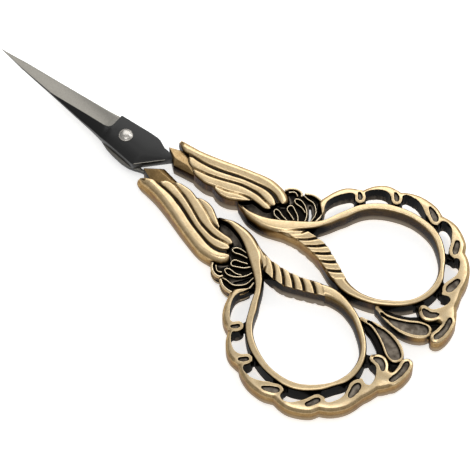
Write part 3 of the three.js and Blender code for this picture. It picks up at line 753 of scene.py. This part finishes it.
def mark_wear_and_shade(mesh, around=(), reach=9.0, missed=0.0, walls=0.0, hollows=(), rims=(), flower=None):
    """Stores for the patina how open each point lies, how proud it stands, how far it is sunk below the tops,
    and how much it is the floor of a hollow, which takes a painted grey sheen. Openness is painted shade in
    part:
    the pieces around also shut out rays, and a wall is darkened by a near wall of this piece that it faces.
    The wheel leaves missed all over, and walls on upright faces."""
    boxes = []
    for loop in (*hollows, *rims):
        xs, ys = [p.x for p in loop], [p.y for p in loop]
        boxes.append((min(xs), max(xs), min(ys), max(ys), loop))

    def within(point, some):
        for a, b, c, d, loop in some:
            if a < point.x < b and c < point.y < d and inside(loop, point.x, point.y):
                return loop
        return None

    bm = bmesh.new()
    for shape in (mesh, *around):
        bm.from_mesh(shape)
    tree = BVHTree.FromBMesh(bm)
    tops = tops_nearby(bm.verts)
    rays = hemisphere(WEAR_RAYS)
    own = bmesh.new()
    own.from_mesh(mesh)
    own_tree = BVHTree.FromBMesh(own)
    own.free()
    open_and_shade, proud, sunk, floor = [mesh.attributes.new(name, "FLOAT", "POINT").data
                                  for name in ("open", "proud", "sunk", "floor")]
    bm.verts.ensure_lookup_table()
    open_and_shade_values = []
    for i in range(len(mesh.vertices)):
        v = bm.verts[i]
        turn = v.normal.to_track_quat("Z", "Y")
        start = v.co + v.normal * WEAR_LIFT
        free = 0.0
        for ray in rays:
            hit = tree.ray_cast(start, turn @ ray, reach)[3]
            free += 1 if hit is None else hit / reach
        # A wall that faces a near wall of this piece gets painted shade, darker the nearer that wall is
        ahead = Vector((v.normal.x, v.normal.y, 0)).normalized()
        upright = part_way(abs(v.normal.z), 0.75, 0.25)  # 1 on walls
        across = own_tree.ray_cast(start, ahead, 40)[3] if upright else None
        facing = 0 if across is None else value([(0, PAINTED_SHADE_NEAR), (PAINTED_SHADE_REACH, PAINTED_SHADE_FAR)], across)
        open_and_shade_values.append(free / len(rays) * (1 - upright * facing) - missed - walls * upright)
        sides = [v.co - e.other_vert(v).co for e in v.link_edges]
        proud[i].value = sum(v.normal.dot(side) / max(side.length, 0.05) for side in sides) / len(sides)
        top = tops[(round(v.co.x / WEAR_SQUARE), round(v.co.y / WEAR_SQUARE))]
        level = part_way(abs(v.normal.z), 0.7, 0.95)  # 1 on tops and floors
        hollow = within(v.co, boxes[:len(hollows)]) if level > 0 else None
        rim = within(v.co, boxes[len(hollows):]) if level > 0 and not hollow else None
        # A hollow's floor and the flower's low floor take the painted sheen
        if hollow:
            beside = min(math.hypot(p.x - v.co.x, p.y - v.co.y) for p in hollow)
            floor[i].value = part_way(beside, FLOOR_INSET, FLOOR_INSET + FLOOR_EDGE)
        elif flower and level > 0 and abs(v.co.z) < FLOWER + PETAL_ROOT and inside(flower, v.co.x, v.co.y):
            floor[i].value = FLOWER_SHEEN
        sunk[i].value = 0.0 if rim else (top - abs(v.co.z)) * level
    near = [[e.other_vert(bm.verts[i]).index for e in bm.verts[i].link_edges] for i in range(len(open_and_shade_values))]
    for _ in range(2):
        open_and_shade_values = [(a + sum(open_and_shade_values[k] for k in ks) / len(ks)) / 2 for a, ks in zip(open_and_shade_values, near)]
    for point, free in zip(open_and_shade, open_and_shade_values):
        point.value = free
    bm.free()


# Materials
GRAIN_DEPTH = 0.00003  # metres


def linear(hexa):
    """A linear RGBA colour from an sRGB hex value."""
    channels = [int(hexa[i:i + 2], 16) / 255 for i in (1, 3, 5)]
    return (*[c / 12.92 if c <= 0.04045 else ((c + 0.055) / 1.055) ** 2.4 for c in channels], 1)


def add(tree, kind, links=None, ramp=None, **settings):
    """Adds a node with its settings; links gives each input a value or another node's output."""
    made = tree.nodes.new(kind)
    for key, setting in settings.items():
        setattr(made, key, setting)
    for key, source in (links or {}).items():
        if isinstance(source, bpy.types.NodeSocket):
            tree.links.new(source, made.inputs[key])
        else:
            made.inputs[key].default_value = source
    if ramp:
        while len(made.color_ramp.elements) < len(ramp):
            made.color_ramp.elements.new(0.5)
        for element, (position, colour) in zip(made.color_ramp.elements, ramp):
            element.position = position
            element.color = linear(colour)
    return made


def cells(mm):
    """The scale of a pattern whose cells are that many millimetres wide."""
    return 1000 / mm


def material(name):
    """A new material without nodes, and its tree."""
    made = bpy.data.materials.new(name)
    made.use_nodes = True
    made.node_tree.nodes.clear()
    return made, made.node_tree


def antiqued_brass():
    """Cast alloy plated in brass, blackened and buffed: bright where the wheel reached, black in recesses.
    Painted on top: shade on walls that face others and near the other half, a reflection of the floor on the
    lower walls, and a grey sheen on hollow floors.
    """
    made, tree = material("antiqued_brass_buffed_casting")
    where = add(tree, "ShaderNodeTexCoord").outputs["Object"]
    height = add(tree, "ShaderNodeSeparateXYZ", {0: where}).outputs["Z"]
    normal = add(tree, "ShaderNodeNewGeometry").outputs["Normal"]
    facing = add(tree, "ShaderNodeSeparateXYZ", {0: normal}).outputs["Z"]
    level = add(tree, "ShaderNodeMath", {0: facing}, operation="ABSOLUTE").outputs[0]
    open_and_shade, proud, sunk, floor = [add(tree, "ShaderNodeAttribute", attribute_name=name).outputs["Fac"]
                                  for name in ("open", "proud", "sunk", "floor")]

    # The wheel: less on walls, nothing in narrow places and on sunk floors, most on proud edges; the openness
    # it reads also darkens facing walls and places near the other half as painted shade
    reached = add(tree, "ShaderNodeMapRange",
                  {"Value": open_and_shade, "From Min": 0.5, "From Max": 0.95}).outputs["Result"]
    flatness = add(tree, "ShaderNodeMath", {0: level, 1: 3}, operation="POWER").outputs[0]
    wheel = add(tree, "ShaderNodeMath", {0: flatness, 1: 0.23, 2: 0.57}, operation="MULTIPLY_ADD").outputs[0]
    buffed = add(tree, "ShaderNodeMath", {0: reached, 1: wheel}, operation="MULTIPLY").outputs[0]
    edged = add(tree, "ShaderNodeMath", {0: proud, 1: 0.7, 2: buffed}, operation="MULTIPLY_ADD").outputs[0]
    floors = add(tree, "ShaderNodeMapRange",
                 {"Value": sunk, "From Min": 0.3, "From Max": 0.5}).outputs["Result"]
    missed = add(tree, "ShaderNodeMath", {0: edged, 1: floors}, operation="SUBTRACT").outputs[0]

    # Blotches of 1.43 mm and a speckle of 0.294 mm, drawn coarser than the real grain so that it shows
    blotch = add(tree, "ShaderNodeTexNoise",
                 {"Vector": where, "Scale": cells(1.43), "Detail": 4}).outputs["Fac"]
    speckle = add(tree, "ShaderNodeTexNoise",
                  {"Vector": where, "Scale": cells(0.294), "Detail": 2}).outputs["Fac"]
    cloudy = add(tree, "ShaderNodeMath", {0: blotch, 1: 0.16, 2: -0.08}, operation="MULTIPLY_ADD").outputs[0]
    uneven = add(tree, "ShaderNodeMath", {0: speckle, 1: 0.2, 2: -0.1}, operation="MULTIPLY_ADD").outputs[0]
    mottled = add(tree, "ShaderNodeMath", {0: cloudy, 1: uneven}, operation="ADD").outputs[0]
    rubbed = add(tree, "ShaderNodeMath", {0: missed, 1: mottled}, operation="ADD").outputs[0]
    plated = add(tree, "ShaderNodeValToRGB", {"Fac": rubbed}, ramp=[
        (0.0, "#100c07"), (0.15, "#2a2013"), (0.35, "#574424"),
        (0.55, "#93764a"), (0.8, "#dec498"), (1.0, "#f7e8c8"),
    ]).outputs["Color"]

    # Floors of eyelets, leaves and flowers get a painted, dim grey sheen, only where the floor lies open
    wide = add(tree, "ShaderNodeMapRange",
               {"Value": open_and_shade, "From Min": 0.52, "From Max": 0.72}).outputs["Result"]
    dull = add(tree, "ShaderNodeMath", {0: floor, 1: wide}, operation="MULTIPLY").outputs[0]
    sheen = add(tree, "ShaderNodeValToRGB", {"Fac": blotch},
                ramp=[(0.35, "#5f554a"), (0.65, "#978c7d")]).outputs["Color"]
    floored = add(tree, "ShaderNodeMix", {"Factor": dull, "A": plated, "B": sheen},
                  data_type="RGBA").outputs["Result"]

    # Painted reflection of the white floor: below the parting line the walls are greyer, where they don't
    # stand close to another
    off = add(tree, "ShaderNodeMath", {0: height, 1: PIVOT.z}, operation="SUBTRACT").outputs[0]
    below = add(tree, "ShaderNodeMapRange",
                {"Value": off, "From Min": 0.0003, "From Max": -0.0012}).outputs["Result"]
    wall = add(tree, "ShaderNodeMath", {0: 0.7, 1: flatness}, operation="SUBTRACT", use_clamp=True).outputs[0]
    clear = add(tree, "ShaderNodeMapRange",
                {"Value": open_and_shade, "From Min": 0.3, "From Max": 0.45}).outputs["Result"]
    reflection_below_seam = add(tree, "ShaderNodeMath", {0: below, 1: wall}, operation="MULTIPLY").outputs[0]
    grey = add(tree, "ShaderNodeMath", {0: reflection_below_seam, 1: clear}, operation="MULTIPLY").outputs[0]
    # a0968a is the painted reflection of the floor on the lower walls
    with_painted_reflection = add(tree, "ShaderNodeMix", {"Factor": grey, "A": floored, "B": linear("#a0968a")},
                 data_type="RGBA").outputs["Result"]

    # The parting line itself stays dark, 0.2 to 0.4 mm wide
    apart = add(tree, "ShaderNodeMath", {0: off}, operation="ABSOLUTE").outputs[0]
    seam = add(tree, "ShaderNodeMapRange", {"Value": apart, "From Min": 0.00018, "From Max": 0.00008,
                                            "To Max": 0.45}).outputs["Result"]
    colour = add(tree, "ShaderNodeMix", {"Factor": seam, "A": with_painted_reflection, "B": linear("#1c150e")},
                 data_type="RGBA").outputs["Result"]

    # A thin lacquer over all, most where the wheel made it smooth
    rough = add(tree, "ShaderNodeMapRange",
                {"Value": rubbed, "To Min": 0.45, "To Max": 0.25}).outputs["Result"]
    bump = add(tree, "ShaderNodeBump",
               {"Height": speckle, "Strength": 0.3, "Distance": GRAIN_DEPTH}).outputs["Normal"]
    lacquer = add(tree, "ShaderNodeMapRange",
                  {"Value": reached, "From Max": 0.6, "To Min": 0.15, "To Max": 0.35}).outputs["Result"]
    skin = add(tree, "ShaderNodeBsdfPrincipled", {
        "Base Color": colour, "Metallic": 1.0, "Roughness": rough, "Normal": bump, "Specular Tint": colour,
        "Coat Weight": lacquer, "Coat Roughness": 0.2,
    })
    add(tree, "ShaderNodeOutputMaterial", {"Surface": skin.outputs[0]})
    return made


def black_oxide():
    """Steel blackened in a hot salt bath: even, dark and satin, with a grain drawn coarser than it is."""
    made, tree = material("black_oxide_steel_satin")
    where = add(tree, "ShaderNodeTexCoord").outputs["Object"]
    cloud = add(tree, "ShaderNodeTexNoise",
                {"Vector": where, "Scale": cells(3.33), "Detail": 3}).outputs["Fac"]
    colour = add(tree, "ShaderNodeValToRGB", {"Fac": cloud},
                 ramp=[(0.3, "#060606"), (0.7, "#0b0b0a")]).outputs["Color"]
    grain = add(tree, "ShaderNodeTexNoise",
                {"Vector": where, "Scale": cells(0.25), "Detail": 2}).outputs["Fac"]
    bump = add(tree, "ShaderNodeBump",
               {"Height": grain, "Strength": 0.15, "Distance": GRAIN_DEPTH}).outputs["Normal"]
    skin = add(tree, "ShaderNodeBsdfPrincipled", {"Base Color": colour, "Metallic": 0.0, "Roughness": 0.32,
                                                  "Specular IOR Level": 0.38, "Normal": bump})
    add(tree, "ShaderNodeOutputMaterial", {"Surface": skin.outputs[0]})
    return made


def ground_steel():
    """Steel off a fine wheel: grey, with scratches across the edge 0.071 mm wide, coarser than real ones."""
    made, tree = material("ground_steel_fine_wheel")
    where = add(tree, "ShaderNodeTexCoord").outputs["Object"]
    scratch = (cells(0.0714), cells(0.625), cells(0.625))
    run = add(tree, "ShaderNodeMapping", {"Vector": where, "Scale": scratch}).outputs["Vector"]
    lines = add(tree, "ShaderNodeTexNoise", {"Vector": run, "Scale": 1, "Detail": 3}).outputs["Fac"]
    colour = add(tree, "ShaderNodeValToRGB", {"Fac": lines},
                 ramp=[(0.3, "#79766f"), (0.7, "#8a8780")]).outputs["Color"]
    bump = add(tree, "ShaderNodeBump",
               {"Height": lines, "Strength": 0.2, "Distance": GRAIN_DEPTH}).outputs["Normal"]
    skin = add(tree, "ShaderNodeBsdfPrincipled", {"Base Color": colour, "Metallic": 1.0, "Roughness": 0.36,
                                                  "Normal": bump})
    add(tree, "ShaderNodeOutputMaterial", {"Surface": skin.outputs[0]})
    return made


def bright_steel():
    """Turned and tumbled steel of the rivet: light, with a faint cloud of 0.333 mm."""
    made, tree = material("bright_steel_tumbled")
    where = add(tree, "ShaderNodeTexCoord").outputs["Object"]
    cloud = add(tree, "ShaderNodeTexNoise",
                {"Vector": where, "Scale": cells(0.333), "Detail": 3}).outputs["Fac"]
    colour = add(tree, "ShaderNodeValToRGB", {"Fac": cloud},
                 ramp=[(0.3, "#b0aca6"), (0.7, "#bfbbb5")]).outputs["Color"]
    bump = add(tree, "ShaderNodeBump",
               {"Height": cloud, "Strength": 0.08, "Distance": GRAIN_DEPTH}).outputs["Normal"]
    skin = add(tree, "ShaderNodeBsdfPrincipled", {"Base Color": colour, "Metallic": 1.0, "Roughness": 0.26,
                                                  "Normal": bump})
    add(tree, "ShaderNodeOutputMaterial", {"Surface": skin.outputs[0]})
    return made


# Pieces

def placed(name, mesh, place, materials, body, stands_for=None):
    """A finished piece: a copy of the drawing's mesh, moved to its place in the part."""
    copy = mesh.copy()
    copy.name = name
    copy.transform(place)
    for m in materials:
        copy.materials.append(m)
    piece = bpy.data.objects.new(name, copy)
    bpy.context.scene.collection.objects.link(piece)
    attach(piece, body)
    if stands_for:
        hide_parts(stands_for)


def drawn(bm, sharp=None):
    """A mesh from a bmesh, smooth but for the edges sharper than that angle."""
    mesh = bpy.data.meshes.new("drawn")
    bm.to_mesh(mesh)
    bm.free()
    mesh.shade_smooth()
    if sharp:
        mesh.set_sharp_from_angle(angle=math.radians(sharp))
    return mesh


to_part = Matrix.Translation(PIVOT) @ Matrix.Scale(0.001, 4)
turned = to_part @ Matrix.Rotation(math.pi, 4, "X")
upper_bow = to_part @ Matrix.Translation((BOW_STAGGER, 0, 0))
lower_bow = turned @ Matrix.Translation((-BOW_STAGGER, 0, 0))

brass, black, ground, bright = antiqued_brass(), black_oxide(), ground_steel(), bright_steel()

casting = cast_in_one(cast_bow() + cast_twist() + cast_wing() + cast_flower() + cast_lace() + cast_leaf())
fall_away(casting)
casting.shade_smooth()
petals = drawn(petal_lines())
sleeves = {"upper": drawn(collar(), 40), "lower": drawn(collar(), 40)}
hollows = [smooth_line(points, closed=True) for points in (*EYELETS, LEAF_HOLLOW)]
# The other half, laid as at rest, shuts out rays too: painted shade between the halves
other_half_for_shade = casting.copy()
other_half_for_shade.transform(upper_bow.inverted() @ lower_bow)
mark_wear_and_shade(petals, missed=-0.15)
mark_wear_and_shade(sleeves["upper"], reach=3.0, missed=0.18, walls=0.22)
# The lower collar's larger missed share darkens it more than the upper one: painted shade
mark_wear_and_shade(sleeves["lower"], reach=3.0, missed=0.22, walls=0.22)
mark_wear_and_shade(casting, (petals, sleeves["upper"], other_half_for_shade), hollows=hollows,
          rims=[smooth_line(LEAF_OUTLINE, closed=True)], flower=smooth_line(FLOWER_FLOOR, closed=True))
bpy.data.meshes.remove(other_half_for_shade)

for half, place in (("upper", upper_bow), ("lower", lower_bow)):
    body = half + "_half"
    placed(half + "_bow_casting", casting, place, [brass], body, half + "_handle")
    placed(half + "_petal_lines", petals, place, [brass], body)
    placed(half + "_collar", sleeves[half], place, [brass], body)

upper_blade = drawn(blade(SHOULDER, SPINE, FULL, FULL), 30)
lower_blade = drawn(blade(LOWER_SHOULDER, LOWER_SPINE, LOWER_EDGE, LOWER_FULL), 30)
steels = [black, ground]
placed("upper_blade_steel", upper_blade, to_part, steels, "upper_half", "upper_blade")
placed("lower_blade_steel", lower_blade, turned, steels, "lower_half", "lower_blade")
placed("rivet", drawn(rivet(), 40), to_part, [bright], "lower_half", "pivot_rivet")

# Floor: white to the camera and in reflections, with a faint shadow left in it
floor_bm = bmesh.new()
bmesh.ops.create_grid(floor_bm, x_segments=1, y_segments=1, size=1.5)
floor_mesh = bpy.data.meshes.new("floor")
floor_bm.to_mesh(floor_mesh)
floor_bm.free()
floor = bpy.data.objects.new("floor", floor_mesh)
bpy.context.scene.collection.objects.link(floor)
paper, tree = material("white_paper_sweep")
path = add(tree, "ShaderNodeLightPath")
camera_ray, glossy_ray, through_ray = [
    path.outputs[name] for name in ("Is Camera Ray", "Is Glossy Ray", "Is Transmission Ray")]
seen = add(tree, "ShaderNodeMath", {0: camera_ray, 1: glossy_ray}, operation="ADD").outputs[0]
shown = add(tree, "ShaderNodeMath", {0: seen, 1: through_ray}, operation="ADD", use_clamp=True)
matt = add(tree, "ShaderNodeBsdfDiffuse", {"Color": linear("#f4f4f2")})
glow = add(tree, "ShaderNodeEmission", {"Color": linear("#cbcbcb"), "Strength": shown.outputs[0]})
both = add(tree, "ShaderNodeAddShader", {0: matt.outputs[0], 1: glow.outputs[0]})
add(tree, "ShaderNodeOutputMaterial", {"Surface": both.outputs[0]})
floor_mesh.materials.append(paper)

# Light: an even dome, brighter overhead, with softboxes over the part, behind it and to its left
world = bpy.data.worlds.new("studio")
bpy.context.scene.world = world
world.use_nodes = True
sky = world.node_tree
sky.nodes.clear()
BRIGHTEST = (0.25, -0.1, 0.96)
way = add(sky, "ShaderNodeTexCoord").outputs["Generated"]
lean = add(sky, "ShaderNodeVectorMath", {0: way, 1: BRIGHTEST}, operation="DOT_PRODUCT").outputs["Value"]
level = add(sky, "ShaderNodeMapRange",
            {"Value": lean, "From Min": -0.2, "To Min": 0.2, "To Max": 0.6}).outputs["Result"]
dome = add(sky, "ShaderNodeBackground", {"Color": linear("#ffffff"), "Strength": level})
add(sky, "ShaderNodeOutputWorld", {"Surface": dome.outputs[0]})


def softbox(name, place, aim, size, power):
    """A square lamp of that size in metres and power in watts, turned to the point it is aimed at."""
    lamp = bpy.data.lights.new(name, "AREA")
    lamp.size = size
    lamp.energy = power
    holder = bpy.data.objects.new(name, lamp)
    holder.location = place
    holder.rotation_euler = (Vector(aim) - Vector(place)).to_track_quat("-Z", "Y").to_euler()
    bpy.context.scene.collection.objects.link(holder)


softbox("softbox_over", (0.05, -0.05, 0.5), (0, 0, 0), 0.2, 0.3)
softbox("softbox_rear", (0.11, 0.4, 0.36), (0, 0, 0), 0.25, 0.5)
softbox("softbox_left", (-0.1028, 0.1549, 0.1353), (0.0037, 0.0137, 0), 0.2, 0.2)

# Camera at the photograph's angle: its azimuth and elevation, the point it looks at, and how far off that is
SEEN_FROM = (math.radians(39.48), math.radians(62.6))
LOOK_AT = PIVOT + Vector((35.8, -4.15, 2.7)) * 0.001
DISTANCE = 0.727
FOCAL_LENGTH = 247.4  # on a sensor 36 mm wide
back = Vector((
    math.sin(SEEN_FROM[0]) * math.cos(SEEN_FROM[1]),
    -math.cos(SEEN_FROM[0]) * math.cos(SEEN_FROM[1]),
    math.sin(SEEN_FROM[1]),
))
lens = bpy.data.cameras.new("camera")
lens.lens = FOCAL_LENGTH
lens.sensor_width = 36
lens.clip_start = 0.01
camera = bpy.data.objects.new("camera", lens)
camera.location = LOOK_AT + back * DISTANCE
camera.rotation_euler = back.to_track_quat("Z", "Y").to_euler()
bpy.context.scene.collection.objects.link(camera)
bpy.context.scene.camera = camera
bpy.context.scene.view_settings.view_transform = "Standard"

bpy.context.view_layer.update()
